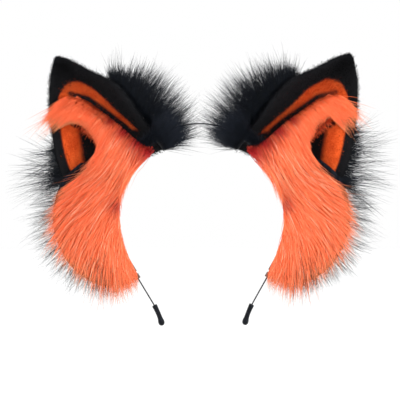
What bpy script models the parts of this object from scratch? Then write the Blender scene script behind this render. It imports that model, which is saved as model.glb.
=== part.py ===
"""Animal ears headband: a flat spring steel band with rubber tips. Each side carries a cupped plush ear
with a long-pile ruff behind it and a tuft inside it, and a two-faced strip of long fur down the band.

Frame: +Z up, -Y is the front, +X is to the right as seen from the front. The origin is the middle of
the crown's underside, where the band rests on the head. Blender for metres; the sizes below are in mm.
Each half is worked out as (outward, back, up) and then placed on its own side.
"""

import math

import bmesh
import bpy
from mathutils import Matrix, Vector

MM = 0.001

# Spring band: a flat strip bent to an ellipse, with straight legs that turn in at the tips.
BAND_HALF_WIDTH = 68.0
BAND_HALF_HEIGHT = 72.0
BAND_THICK = 1.0
BAND_WIDE = 5.0
LEG_STARTS = math.radians(-33)
LEG_LENGTH = 38.0
TIP_LENGTH = 15.0
TIP_TURN = math.radians(14)
FLEX_AT = 20.0  # along the band from the crown's middle to the place where an arm flexes
FLEX_GAP = 0.5
ARM_OPEN = {"crown": 0.0, "left": 0.0, "right": math.radians(2.0)}  # the bend isn't quite even

# Rubber tip: a shell pulled over the end of the strip, as (past the strip's end, half across the
# strip's thickness, half along its width) from the mouth to the end of the ball.
CAP_RINGS = (
    (-13.5, 2.1, 4.1),
    (-8.5, 2.1, 4.1),
    (-3.5, 2.1, 4.1),
    (-0.5, 2.4, 4.3),
    (1.5, 2.6, 4.4),
    (3.2, 2.2, 3.9),
    (4.2, 1.5, 2.9),
)
CAP_WALL = 0.9

# Ear: the front outlines from the base to the tip, as (outward, up), for the left ear.
OUTER_EDGE = ((109.0, -46.0), (116.5, -22.0), (120.0, 4.0), (120.5, 29.0), (117.0, 49.0))
INNER_EDGE = ((30.0, -20.0), (49.0, 6.0), (67.0, 30.0), (90.0, 42.0), (109.5, 52.0))
TIP_ROUND_FROM = 0.86
RIM_BACK = (9.0, 7.0)  # how far back the outer and inner rims are at the base
CUP_DEPTH = 30.0
CREASE_AT = 0.62  # share of the way from the outer to the inner rim where the cup is deepest
EAR_STEPS = (8, 7)
EAR_SIZE = {"left": 1.0, "right": 1.047}  # the ears are cut by hand and differ a little
EAR_LEAN = {"left": 0.0, "right": math.radians(2.9)}

# Layers of the ear, each from one side to the other, measured back from the cup's surface.
LINING = (0.0, -1.2)
CORE = (0.3, 2.3)
COVER = (2.6, 3.8)
RUFF_BACKING = (4.8, 5.8)
RUFF_PILE_FROM = 6.4
RUFF_PILE = (15.0, 12.0, 25.0)  # depth of pile at the outer rim, the back and the inner rim
RUFF_TOP = (0.42, 0.60)  # share of the ear's height that the ruff covers at each rim
TUFT_BACKING = (-2.0, -3.0)
TUFT_PILE_FROM = -3.6
TUFT_PILE = 8.0
TUFT_UP = (0.07, 0.60)
TUFT_INNER = (0.84, 0.45)  # share across of the tuft's inner edge at its lower and upper end
TUFT_WIDE = 0.28
PILE_RIM = 0.15  # share of its depth that a pile keeps at its edges

# Seat of the ear: a cloth sleeve round the band, with a felt pad stitched on top of it.
PIVOT_AT = 52.0
SLEEVE_LENGTH = 18.0
SLEEVE_HALF = (1.8, 3.8)
SLEEVE_WALL = 1.4
FELT_SIZE = (17.0, 11.0, 2.0)
FELT_PLACE = (4.6, 0.5)  # out from the band's middle line and back

# Strip of long fur: lines from its inner to its outer edge, from the top down, as (outward, up).
STRIP_LINES = (
    ((56.0, -38.0), (104.0, -60.0)),
    ((60.5, -47.0), (119.0, -68.0)),
    ((65.0, -60.0), (125.0, -81.0)),
    ((66.5, -75.0), (126.0, -96.0)),
    ((65.0, -90.0), (120.0, -111.0)),
    ((61.0, -103.0), (106.0, -124.0)),
    ((56.0, -113.0), (84.0, -133.0)),
    ((51.5, -121.0), (64.0, -131.0)),
)
REAR_REACH = 1.24  # how much further out the rear pile goes than the front pile
STRIP_SPAN = (74.0, 160.0)  # along the band, where the backings start and end
STRIP_WIDE = 26.0
STRIP_INSIDE = -2.0  # the backings start this far inside the band's middle line
BACKING_FROM = 2.9
BACKING_THICK = 1.0
PILE_FROM = 4.4
FRONT_PILE = 13.0
REAR_PILE = 14.0
GLUE_RADIUS = 1.9
GLUE_OUT = 5.0
WRAP_AT = {"upper": 68.0, "lower": 164.0}
WRAP_LENGTH = 4.0
WRAP_HALF = (1.5, 3.6)
WRAP_WALL = 0.7

SIDES = {"crown": 1, "left": -1, "right": 1}

MATERIALS = {
    "band_enamel": ((0.015, 0.016, 0.018), 0.28, 0.6),
    "cap_rubber": ((0.012, 0.014, 0.02), 0.5, 0.0),
    "black_plush": ((0.012, 0.012, 0.013), 0.9, 0.0),
    "black_fur": ((0.01, 0.012, 0.018), 0.7, 0.0),
    "orange_plush": ((0.72, 0.13, 0.02), 0.9, 0.0),
    "orange_fur": ((0.95, 0.24, 0.08), 0.7, 0.0),
    "foam": ((0.2, 0.2, 0.2), 0.95, 0.0),
    "felt": ((0.02, 0.02, 0.022), 0.95, 0.0),
    "knit_backing": ((0.10, 0.06, 0.05), 0.9, 0.0),
    "glue": ((0.85, 0.80, 0.68), 0.4, 0.0),
    "thread": ((0.09, 0.035, 0.02), 0.7, 0.0),
}


def spread(first, last, count):
    """A number of values, evenly spaced from the first to the last."""
    return [first + (last - first) * i / (count - 1) for i in range(count)]


def band_points():
    """The middle line of half the band, from the crown's middle to the tip, as (outward, up)."""
    points = []
    for turn in spread(math.pi / 2, LEG_STARTS, 150):
        rise = BAND_THICK / 2 + BAND_HALF_HEIGHT * (math.sin(turn) - 1)
        points.append(Vector((BAND_HALF_WIDTH * math.cos(turn), rise)))
    down = points[-1] - points[-2]
    heading = math.atan2(-down.x, -down.y)
    for length, turn, steps in ((LEG_LENGTH, 0.0, 20), (TIP_LENGTH, TIP_TURN, 15)):
        for i in range(steps):
            angle = heading - turn * (i + 0.5) / steps
            step = Vector((-math.sin(angle), -math.cos(angle)))
            points.append(points[-1] + step * (length / steps))
        heading -= turn
    return points


BAND = band_points()
BAND_RUN = [0.0]
for before, after in zip(BAND, BAND[1:]):
    BAND_RUN.append(BAND_RUN[-1] + (after - before).length)
BAND_END = BAND_RUN[-1]


def beside_band(run, out, back):
    """A point at that run along the band, out from its middle line, as (outward, back, up)."""
    i = next((k for k in range(1, len(BAND)) if BAND_RUN[k] >= run), len(BAND) - 1)
    along = (BAND[i] - BAND[i - 1]).normalized()
    point = BAND[i - 1] + along * (run - BAND_RUN[i - 1])
    place = point + Vector((-along.y, along.x)) * out
    return Vector((place.x, back, place.y))


def curve_point(points, share):
    """A point on the smooth curve through the points, for a share from 0 to 1 of the way along it."""
    last = len(points) - 1
    span = min(int(share * last), last - 1)
    t = share * last - span
    a, b, c, d = (Vector(points[min(max(span + k, 0), last)]) for k in (-1, 0, 1, 2))
    bend = (2 * a - 5 * b + 4 * c - d) * t**2 + (3 * b - a - 3 * c + d) * t**3
    return (2 * b + (c - a) * t + bend) / 2


def cup_point(across, up, hand):
    """A point of the cupped ear: across from the outer to the inner rim, up from base to tip."""
    outer, inner = curve_point(OUTER_EDGE, up), curve_point(INNER_EDGE, up)
    past = max(0.0, (up - TIP_ROUND_FROM) / (1 - TIP_ROUND_FROM))
    half = (inner - outer) / 2 * math.sqrt(1 - 0.75 * past**2)
    place = (outer + inner) / 2 + half * (2 * across - 1)
    corner = Vector(INNER_EDGE[0])
    lean = Matrix.Rotation(-EAR_LEAN[hand], 2)
    place = corner + lean @ (place - corner) * EAR_SIZE[hand]
    rim = (RIM_BACK[0] + (RIM_BACK[1] - RIM_BACK[0]) * across) * (1 - up)
    skew = math.log(0.5) / math.log(CREASE_AT)
    cup = CUP_DEPTH * (1 - up) ** 0.8 * math.sin(math.pi * across**skew)
    return Vector((place.x, rim + cup, place.y))


def ear_point(across, up, back, hand):
    """A point of the cup moved back from its surface, square to it."""
    step = 0.01
    side = cup_point(min(across + step, 1), up, hand) - cup_point(max(across - step, 0), up, hand)
    rise = cup_point(across, min(up + step, 1), hand) - cup_point(across, max(up - step, 0), hand)
    normal = side.cross(rise).normalized()
    if normal.y < 0:
        normal.negate()
    return cup_point(across, up, hand) + normal * back


def ruff_top(across):
    """How far up the ear the ruff goes."""
    return RUFF_TOP[0] + (RUFF_TOP[1] - RUFF_TOP[0]) * across


def ruff_depth(across, up):
    """Depth of the ruff's pile, which is longest at the inner rim and thins out towards the top."""
    outer, middle, inner = RUFF_PILE
    near, far, share = (outer, middle, across * 2) if across < 0.5 else (middle, inner, across * 2 - 1)
    return (near + (far - near) * share) * (1 - (1 - PILE_RIM) * up**2)


def dome(u, v):
    """Share of its full depth that a pile has at a place, thin at the edges and full in the middle."""
    return PILE_RIM + (1 - PILE_RIM) * (math.sin(math.pi * u) * math.sin(math.pi * v)) ** 0.5


def strip_point(u, v, back, reach=1.0):
    """A point of the long fur's outline: u from the inner to the outer edge, v from the top down."""
    inner = curve_point([line[0] for line in STRIP_LINES], v)
    outer = curve_point([line[1] for line in STRIP_LINES], v)
    place = inner + (outer - inner) * (u * reach)
    return Vector((place.x, back, place.y))


def make_material(name, colour, roughness, metallic):
    """A plain finish."""
    made = bpy.data.materials.new(name)
    made.use_nodes = True
    shader = made.node_tree.nodes["Principled BSDF"]
    shader.inputs["Base Color"].default_value = (*colour, 1)
    shader.inputs["Roughness"].default_value = roughness
    shader.inputs["Metallic"].default_value = metallic


def placed(point, hand):
    """An (outward, back, up) point in mm, where that arm holds it, in metres."""
    flex = beside_band(FLEX_AT, 0, 0)
    settled = flex + Matrix.Rotation(-ARM_OPEN[hand], 3, "Y") @ (Vector(point) - flex)
    return Vector((SIDES[hand] * settled.x, settled.y, settled.z)) * MM


def make_body(name, point, hand, parent=None):
    """An empty on a joint's axis, which carries the pieces that move together."""
    empty = bpy.data.objects.new(name, None)
    empty.location = placed(point, hand)
    if parent:
        empty.parent = parent
        empty.location -= parent.matrix_world.translation
    bpy.context.scene.collection.objects.link(empty)
    bpy.context.view_layer.update()
    return empty


def make_object(name, form, finish, body, parts):
    """A named piece from a bmesh in world metres, carried by its body."""
    bmesh.ops.recalc_face_normals(form, faces=form.faces)
    form.transform(body.matrix_world.inverted())
    mesh = bpy.data.meshes.new(name)
    form.to_mesh(mesh)
    form.free()
    mesh.materials.append(bpy.data.materials[finish])
    made = bpy.data.objects.new(name, mesh)
    made.parent = body
    parts.objects.link(made)
    return made


def thicken(made, depth, offset):
    """Give an open surface a thickness, in mm, to the side of its normals, against it or both."""
    solid = made.modifiers.new("thickness", "SOLIDIFY")
    solid.thickness = depth * MM
    solid.offset = offset
    return solid


def layer(name, place, steps, depth, hand, finish, body, parts, share=None):
    """A layer of cloth, foam or pile: an open grid thickened backwards, or forwards below zero.

    place(u, v) gives a point of the grid for u and v from 0 to 1, and share(u, v) the part of the
    depth that the layer has there.
    """
    form = bmesh.new()
    bmesh.ops.create_grid(form, x_segments=steps[0], y_segments=steps[1], size=0.5)
    seats = [(vert.co.x + 0.5, vert.co.y + 0.5) for vert in form.verts]
    for vert, (u, v) in zip(form.verts, seats):
        vert.co = placed(place(u, v), hand)
    made = make_object(name, form, finish, body, parts)
    if sum(face.normal.y * face.area for face in made.data.polygons) < 0:
        made.data.flip_normals()
    solid = thicken(made, abs(depth), math.copysign(1, depth))
    if share:
        group = made.vertex_groups.new(name="depth")
        for index, (u, v) in enumerate(seats):
            group.add([index], share(u, v), "REPLACE")
        solid.vertex_group = group.name
    return made


def band_strip(name, start, end, hand, body, parts):
    """A stretch of the flat spring band, also across the crown's middle where start is below zero."""
    form = bmesh.new()
    rows = []
    for run in spread(start, end, max(8, round((end - start) / 5))):
        middle = beside_band(abs(run), 0, 0)
        middle.x = math.copysign(middle.x, run)
        edges = (Vector((0, -BAND_WIDE / 2, 0)), Vector((0, BAND_WIDE / 2, 0)))
        rows.append([form.verts.new(placed(middle + edge, hand)) for edge in edges])
    for near, far in zip(rows, rows[1:]):
        form.faces.new((near[0], near[1], far[1], far[0]))
    made = make_object(name, form, "band_enamel", body, parts)
    thicken(made, BAND_THICK, 0)


def band_tube(name, rings, hand, finish, body, parts, wall, closed_end=False, corners=12):
    """A tube round the band with an oval section, from its rings as (run, half out, half back).

    A wall above zero is outside the rings and one below zero is inside them.
    """
    form = bmesh.new()
    levels = []
    for run, half_out, half_back in rings:
        level = []
        for corner in range(corners):
            turn = 2 * math.pi * (corner + 0.5) / corners
            place = beside_band(run, half_out * math.cos(turn), half_back * math.sin(turn))
            level.append(form.verts.new(placed(place, hand)))
        levels.append(level)
    for near, far in zip(levels, levels[1:]):
        for i in range(corners):
            j = (i + 1) % corners
            form.faces.new((near[i], near[j], far[j], far[i]))
    if closed_end:
        form.faces.new(levels[-1])
    made = make_object(name, form, finish, body, parts)
    first = made.data.polygons[0]
    axis_point = body.matrix_world.inverted() @ placed(beside_band(rings[0][0], 0, 0), hand)
    if first.normal.dot(first.center - axis_point) < 0:
        made.data.flip_normals()
    thicken(made, abs(wall), math.copysign(1, wall))


def build_tip_cap(hand, body, parts):
    """The rubber tip, pulled over the end of the strip."""
    rings = [(BAND_END + past, out, back) for past, out, back in CAP_RINGS]
    band_tube(hand + "_tip_cap", rings, hand, "cap_rubber", body, parts, -CAP_WALL, closed_end=True)


def build_wraps(hand, body, parts):
    """Thread wound round the band at both ends of the long fur."""
    for place, run in WRAP_AT.items():
        rings = [(at, *WRAP_HALF) for at in spread(run - WRAP_LENGTH / 2, run + WRAP_LENGTH / 2, 2)]
        band_tube(f"{hand}_{place}_wrap", rings, hand, "thread", body, parts, WRAP_WALL)


def build_seat(hand, body, parts):
    """The sleeve that goes round the band and the felt pad on it, which the ear is stitched to."""
    ends = (PIVOT_AT - SLEEVE_LENGTH / 2, PIVOT_AT + SLEEVE_LENGTH / 2)
    rings = [(run, *SLEEVE_HALF) for run in spread(*ends, 6)]
    band_tube(hand + "_seat_sleeve", rings, hand, "felt", body, parts, SLEEVE_WALL)
    out, back = FELT_PLACE
    middle = beside_band(PIVOT_AT, out, back)
    normal = middle - beside_band(PIVOT_AT, 0, back)
    form = bmesh.new()
    bmesh.ops.create_cube(form, size=1)
    for vert in form.verts:
        along, deep, thick = (share * size for share, size in zip(vert.co, FELT_SIZE))
        seat = middle + normal.normalized() * thick
        seat += Vector((normal.z, 0, -normal.x)).normalized() * along
        vert.co = placed(seat + Vector((0, deep, 0)), hand)
    make_object(hand + "_seat_felt", form, "felt", body, parts)


def build_ear(hand, body, parts):
    """The three layers of the ear, from the orange lining to the black cover."""
    layers = {
        "lining": (LINING, "orange_plush"),
        "core": (CORE, "foam"),
        "cover": (COVER, "black_plush"),
    }
    for name, ((first, last), finish) in layers.items():
        def place(u, v, back=first):
            return ear_point(u, v, back, hand)
        layer(f"{hand}_ear_{name}", place, EAR_STEPS, last - first, hand, finish, body, parts)


def build_ruff(hand, body, parts):
    """The long black fur round the back of the ear, on its own backing cloth."""
    def place(back):
        return lambda u, v: ear_point(u, v * ruff_top(u), back, hand)

    steps = (EAR_STEPS[0], 3)
    first, last = RUFF_BACKING
    backing = hand + "_ruff_backing"
    layer(backing, place(first), steps, last - first, hand, "knit_backing", body, parts)
    pile = hand + "_ruff_pile"
    deepest = max(RUFF_PILE)
    layer(pile, place(RUFF_PILE_FROM), steps, deepest, hand, "black_fur", body, parts,
          share=lambda u, v: ruff_depth(u, v) / deepest)


def build_tuft(hand, body, parts):
    """The orange fur that is rooted along the crease inside the ear."""
    def place(back):
        def on_lining(u, v):
            up = TUFT_UP[0] + (TUFT_UP[1] - TUFT_UP[0]) * v
            inner = TUFT_INNER[0] + (TUFT_INNER[1] - TUFT_INNER[0]) * v
            return ear_point(inner - TUFT_WIDE * (1 - u), up, back, hand)
        return on_lining

    first, last = TUFT_BACKING
    backing = hand + "_tuft_backing"
    layer(backing, place(first), (3, 5), last - first, hand, "knit_backing", body, parts)
    pile = hand + "_tuft_pile"
    layer(pile, place(TUFT_PILE_FROM), (3, 5), -TUFT_PILE, hand, "orange_fur", body, parts, share=dome)


def build_strip(hand, body, parts):
    """The long fur down the band: orange in front, black behind, glued on both faces of the band."""
    def backing_place(back):
        def place(u, v):
            run = STRIP_SPAN[0] + (STRIP_SPAN[1] - STRIP_SPAN[0]) * v
            return beside_band(run, STRIP_INSIDE + STRIP_WIDE * u, back)
        return place

    def pile_place(back, reach):
        return lambda u, v: strip_point(u, v, back, reach)

    faces = {
        "front": (-1, FRONT_PILE, 1.0, "orange_fur"),
        "rear": (1, REAR_PILE, REAR_REACH, "black_fur"),
    }
    for face, (toward, depth, reach, fur) in faces.items():
        layer(f"{hand}_strip_{face}_backing", backing_place(toward * BACKING_FROM), (1, 12),
              toward * BACKING_THICK, hand, "knit_backing", body, parts)
        layer(f"{hand}_strip_{face}_pile", pile_place(toward * PILE_FROM, reach), (5, 8),
              toward * depth, hand, fur, body, parts, share=dome)

    curve = bpy.data.curves.new(hand + "_glue_bead", "CURVE")
    curve.dimensions = "3D"
    curve.bevel_depth = GLUE_RADIUS * MM
    curve.bevel_resolution = 2
    curve.resolution_u = 1
    curve.use_fill_caps = True
    runs = spread(STRIP_SPAN[0] + 4, STRIP_SPAN[1] - 4, 12)
    spline = curve.splines.new("POLY")
    spline.points.add(len(runs) - 1)
    for point, run in zip(spline.points, runs):
        point.co = (*(body.matrix_world.inverted() @ placed(beside_band(run, GLUE_OUT, 0), hand)), 1)
    curve.materials.append(bpy.data.materials["glue"])
    bead = bpy.data.objects.new(curve.name, curve)
    bead.parent = body
    parts.objects.link(bead)


for leftover in list(bpy.data.objects):
    bpy.data.objects.remove(leftover, do_unlink=True)

for finish, values in MATERIALS.items():
    make_material(finish, *values)

headband = bpy.data.collections.new("animal_ears_headband")
bpy.context.scene.collection.children.link(headband)

crown = make_body("crown", (0, 0, 0), "crown")
crown_end = FLEX_AT - FLEX_GAP / 2
band_strip("crown_band", -crown_end, crown_end, "crown", crown, headband)

for hand in ("left", "right"):
    arm = make_body(hand + "_arm", beside_band(FLEX_AT, 0, 0), hand, crown)
    ear = make_body(hand + "_ear", beside_band(PIVOT_AT, 0, 0), hand, arm)
    band_strip(hand + "_band_arm", FLEX_AT + FLEX_GAP / 2, BAND_END, hand, arm, headband)
    build_tip_cap(hand, arm, headband)
    build_wraps(hand, arm, headband)
    build_strip(hand, arm, headband)
    build_seat(hand, ear, headband)
    build_ear(hand, ear, headband)
    build_ruff(hand, ear, headband)
    build_tuft(hand, ear, headband)
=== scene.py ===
import math

import bpy
import numpy as np
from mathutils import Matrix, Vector


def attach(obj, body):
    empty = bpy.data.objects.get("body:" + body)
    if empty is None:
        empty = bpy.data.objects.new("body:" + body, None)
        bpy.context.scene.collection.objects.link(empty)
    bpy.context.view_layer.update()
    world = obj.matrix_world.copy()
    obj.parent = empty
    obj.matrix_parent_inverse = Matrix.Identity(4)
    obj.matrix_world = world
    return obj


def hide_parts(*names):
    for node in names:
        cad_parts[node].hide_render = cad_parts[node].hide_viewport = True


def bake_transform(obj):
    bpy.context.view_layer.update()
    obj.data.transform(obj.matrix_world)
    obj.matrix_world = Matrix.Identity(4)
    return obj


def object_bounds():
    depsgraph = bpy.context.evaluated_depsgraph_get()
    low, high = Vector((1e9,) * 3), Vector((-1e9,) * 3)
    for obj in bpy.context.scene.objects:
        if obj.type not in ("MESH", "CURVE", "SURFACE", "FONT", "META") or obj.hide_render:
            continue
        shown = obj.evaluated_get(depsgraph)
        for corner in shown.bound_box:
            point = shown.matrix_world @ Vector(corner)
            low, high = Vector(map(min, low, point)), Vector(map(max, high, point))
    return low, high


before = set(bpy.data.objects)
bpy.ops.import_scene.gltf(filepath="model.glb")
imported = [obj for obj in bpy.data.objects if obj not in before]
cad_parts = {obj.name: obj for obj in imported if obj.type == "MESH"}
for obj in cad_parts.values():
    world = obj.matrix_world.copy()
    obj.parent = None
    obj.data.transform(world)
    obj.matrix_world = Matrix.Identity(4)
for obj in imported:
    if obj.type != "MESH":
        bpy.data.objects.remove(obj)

cad_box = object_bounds()

# ---- Spring band ----
# One flat strip of spring steel, bent to an open hoop and dipped in black enamel, so its corners are
# soft and its faces are glossy. It is made here as two halves that meet at the crown's middle, and
# each half bends smoothly where its arm flexes.
MM = 0.001
SIDES = {"left": -1, "right": 1}
BAND_HALF_WIDTH = 68.0
BAND_HALF_HEIGHT = 72.0
BAND_THICK = 1.0
BAND_WIDE = 5.0
LEG_STARTS = math.radians(-33)
LEG_LENGTH = 38.0
TIP_LENGTH = 15.0
TIP_TURN = math.radians(14)
FLEX_FROM, FLEX_AT, FLEX_TO = 6.0, 20.0, 34.0
ARM_OPEN = {"left": 0.0, "right": math.radians(2.0)}  # the bend isn't quite even


class Wire:
    """A shader socket whose sums, differences and products are Math nodes."""

    def __init__(self, socket):
        self.socket = socket

    def node(self, kind, inputs, output=0, stops=(), **settings):
        """Adds a node with its settings, or a ramp with its stops, and joins or sets its inputs."""
        tree = self.socket.id_data
        made = tree.nodes.new(kind)
        for setting, value in settings.items():
            setattr(made, setting, value)
        for place, (position, colour) in enumerate(stops):
            ramp = made.color_ramp.elements
            stop = ramp[place] if place < len(ramp) else ramp.new(position)
            stop.position = position
            stop.color = (*colour, 1)
        for place, value in inputs.items():
            if isinstance(value, Wire):
                tree.links.new(value.socket, made.inputs[place])
            else:
                made.inputs[place].default_value = value
        return Wire(made.outputs[output])

    def math(self, operation, *values):
        return self.node("ShaderNodeMath", dict(enumerate(values)), operation=operation)

    def __add__(self, other):
        return self.math("ADD", self, other)

    def __sub__(self, other):
        return self.math("SUBTRACT", self, other)

    def __rsub__(self, other):
        return self.math("SUBTRACT", other, self)

    def __mul__(self, other):
        return self.math("MULTIPLY", self, other)

    __radd__ = __add__
    __rmul__ = __mul__

    def between(self, low, high):
        """Rises smoothly from 0 at low to 1 at high."""
        values = {"Value": self, "From Min": low, "From Max": high}
        return self.node("ShaderNodeMapRange", values, interpolation_type="SMOOTHSTEP")

    def noise(self, scale, detail=2.0):
        values = {"Vector": self, "Scale": scale, "Detail": detail}
        return self.node("ShaderNodeTexNoise", values, output="Fac")

    def wave(self, scale, distortion, direction):
        values = {"Vector": self, "Scale": scale, "Distortion": distortion}
        return self.node("ShaderNodeTexWave", values, output="Fac", bands_direction=direction)

    def stretched(self, scales):
        return self.node("ShaderNodeVectorMath", {0: self, 1: scales}, operation="MULTIPLY")

    def mixed(self, first, second):
        """One colour where this is 0 and the other where it is 1."""
        colours = [value if isinstance(value, Wire) else (*value, 1) for value in (first, second)]
        values = {"Factor": self, 6: colours[0], 7: colours[1]}
        return self.node("ShaderNodeMix", values, output=2, data_type="RGBA")

    def bumped(self, strength, distance):
        values = {"Height": self, "Strength": strength, "Distance": distance}
        return self.node("ShaderNodeBump", values)

    def attribute(self, name):
        return self.node("ShaderNodeAttribute", {}, output="Fac", attribute_name=name)


def new_finish(name, **constants):
    """A material, its shader and its object coordinates, with the shader's constants set."""
    material = bpy.data.materials.new(name)
    material.use_nodes = True
    tree = material.node_tree
    shader = tree.nodes["Principled BSDF"]
    for place, value in constants.items():
        shader.inputs[place.replace("_", " ")].default_value = value
    return material, shader, Wire(tree.nodes.new("ShaderNodeTexCoord").outputs["Object"])


def feed(shader, **wires):
    """Joins wires to the shader's sockets."""
    for place, wire in wires.items():
        shader.id_data.links.new(wire.socket, shader.inputs[place.replace("_", " ")])


def enamel_finish():
    """Black enamel over steel, with faint drag marks from being worn."""
    material, shader, place = new_finish("black_enamel", Specular_IOR_Level=0.15, Roughness=0.3)
    grain = place.noise(900.0, 3.0)
    drag = place.stretched((300.0, 2200.0, 300.0)).noise(1.0)
    worn = (grain * 0.5 + drag * 0.5).between(0.55, 0.75)
    feed(shader, Base_Color=worn.mixed((0.006, 0.007, 0.009), (0.03, 0.034, 0.042)),
         Roughness=0.2 + worn * 0.25,
         Normal=grain.bumped(0.15, 0.0001))
    return material


def new_mesh(name, points, faces):
    """A smoothly shaded mesh object from points in metres."""
    mesh = bpy.data.meshes.new(name)
    mesh.from_pydata([tuple(point) for point in points], [], faces)
    mesh.polygons.foreach_set("use_smooth", [True] * len(faces))
    mesh.update()
    made = bpy.data.objects.new(name, mesh)
    bpy.context.scene.collection.objects.link(made)
    return made


def add_attribute(piece, name, values):
    """A number at each point of the mesh, which its finish reads."""
    layer = piece.data.attributes.new(name, "FLOAT", "POINT")
    layer.data.foreach_set("value", np.asarray(values, np.float32).ravel())


def dress(piece, material, slot, replaced=()):
    """Gives a piece its finish and hides the CAD nodes that it stands for."""
    piece.data.materials.append(material)
    if replaced:
        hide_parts(*replaced)


def band_middle_line():
    """Points of half the band's middle line, and how far along the band each one is."""
    turn = np.linspace(math.pi / 2, LEG_STARTS, 150)
    rise = BAND_THICK / 2 + BAND_HALF_HEIGHT * (np.sin(turn) - 1)
    points = [np.array(pair) for pair in zip(BAND_HALF_WIDTH * np.cos(turn), rise)]
    down = points[-1] - points[-2]
    heading = math.atan2(-down[0], -down[1])
    for length, bend, steps in ((LEG_LENGTH, 0.0, 20), (TIP_LENGTH, TIP_TURN, 15)):
        for i in range(steps):
            angle = heading - bend * (i + 0.5) / steps
            points.append(points[-1] - np.array((math.sin(angle), math.cos(angle))) * length / steps)
        heading -= bend
    points = np.array(points)
    gaps = np.linalg.norm(np.diff(points, axis=0), axis=1)
    return points, np.concatenate(([0.0], np.cumsum(gaps)))


BAND, BAND_RUN = band_middle_line()
BAND_END = BAND_RUN[-1]


def beside_band(run, out, back):
    """Points at those runs along the band, out from its middle line, as (outward, back, up)."""
    run, out, back = np.broadcast_arrays(*(np.asarray(v, float) for v in (run, out, back)))
    span = np.clip(np.searchsorted(BAND_RUN, run), 1, len(BAND) - 1)
    step = BAND[span] - BAND[span - 1]
    along = step / np.linalg.norm(step, axis=-1, keepdims=True)
    place = BAND[span - 1] + along * (run - BAND_RUN[span - 1])[..., None]
    place = place + np.stack((-along[..., 1], along[..., 0]), axis=-1) * out[..., None]
    return np.stack((place[..., 0], back, place[..., 1]), axis=-1)


def placed(points, hand, opened=1.0):
    """(outward, back, up) points in millimetres, where that arm holds them, in metres."""
    points = np.asarray(points, float)
    flex = beside_band(FLEX_AT, 0, 0)
    away = points - flex
    turn = -ARM_OPEN[hand] * np.asarray(opened, float)
    out = flex[0] + np.cos(turn) * away[..., 0] + np.sin(turn) * away[..., 2]
    up = flex[2] - np.sin(turn) * away[..., 0] + np.cos(turn) * away[..., 2]
    return np.stack((SIDES[hand] * out, points[..., 1], up), axis=-1) * MM


def loft(name, rings, hand, opened=1.0):
    """A closed skin through rings of points of equal count."""
    rings = np.asarray(rings)
    count, around = rings.shape[:2]
    faces = []
    for k in range(count - 1):
        for i in range(around):
            j = (i + 1) % around
            faces.append((k * around + i, k * around + j, (k + 1) * around + j, (k + 1) * around + i))
    faces.append(tuple(range(around))[::-1])
    faces.append(tuple(range((count - 1) * around, count * around)))
    faces = [face[::SIDES[hand]] for face in faces]
    return new_mesh(name, placed(rings, hand, opened).reshape(-1, 3), faces)


def band_section(corner, half_thick, half_wide):
    """A flat section with rounded edges, as (out, back)."""
    turn = np.linspace(0, 2 * math.pi, 20, endpoint=False)
    across, along = np.cos(turn), np.sin(turn)
    out = np.sign(across) * np.abs(across) ** corner * half_thick
    return out, np.sign(along) * np.abs(along) ** corner * half_wide


black_enamel = enamel_finish()
for hand in SIDES:
    out, back = band_section(0.35, BAND_THICK / 2, BAND_WIDE / 2)
    runs = np.linspace(0, BAND_END - 0.5, 150)
    rings = [beside_band(run, out, back) for run in runs]
    opened = np.clip((runs - FLEX_FROM) / (FLEX_TO - FLEX_FROM), 0, 1)
    opened = (opened**2 * (3 - 2 * opened))[:, None]
    half_band = loft(hand + "_band", rings, hand, opened)
    dress(half_band, black_enamel, "band_enamel", [hand + "_band_arm", "crown_band"])
    start, end = placed(beside_band([FLEX_FROM, FLEX_TO], 0, 0), hand)
    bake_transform(half_band)

# ---- Rubber tips ----
# Each end of the strip is pushed into a moulded rubber boot that ends in a small ball, so that the
# wire doesn't dig in behind the ears. The boot keeps the strip's flat shape, with a thicker lip.

# (past the strip's end, half across the strip's thickness, half along its width)
BOOT_PROFILE = (
    (-13.4, 1.25, 3.2),
    (-13.5, 1.7, 3.7),
    (-13.2, 2.1, 4.1),
    (-12.4, 2.2, 4.2),
    (-11.4, 2, 4),
    (-7, 1.95, 3.9),
    (-3.4, 1.9, 3.8),
    (-1.6, 2.1, 4),
    (0, 2.5, 4.35),
    (1.4, 2.65, 4.4),
    (2.6, 2.45, 4.1),
    (3.6, 1.8, 3.2),
    (4.15, 0.9, 1.7),
    (4.25, 0.2, 0.4),
)


def rubber_finish():
    """Black moulded rubber, a little dusty, with a soft shine."""
    material, shader, place = new_finish("moulded_rubber", Specular_IOR_Level=0.08, Coat_Weight=0.02,
                                         Coat_Roughness=0.2)
    dust = place.noise(260.0, 4.0).between(0.45, 0.8)
    grain = place.noise(3000.0, 2.0)
    feed(shader, Base_Color=dust.mixed((0.003, 0.004, 0.006), (0.015, 0.018, 0.026)),
         Roughness=0.3 + dust * 0.2,
         Normal=grain.bumped(0.1, 0.0001))
    return material


moulded_rubber = rubber_finish()
for hand in SIDES:
    rings = []
    for past, half_out, half_back in BOOT_PROFILE:
        out, back = band_section(0.8, half_out, half_back)
        rings.append(beside_band(BAND_END + past, out, back))
    boot = loft(hand + "_boot", rings, hand)
    smoother = boot.modifiers.new("rounding", "SUBSURF")
    smoother.levels = smoother.render_levels = 1
    dress(boot, moulded_rubber, "cap_rubber", [hand + "_tip_cap"])
    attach(boot, hand + "_arm")

# ---- Seats, windings and glue ----
# Each ear is stitched to a felt pad on a cloth sleeve that goes round the band. Thread is wound round
# the band at both ends of the long fur, and a bead of hot-melt glue holds the fur's two cloths to it.


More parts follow.
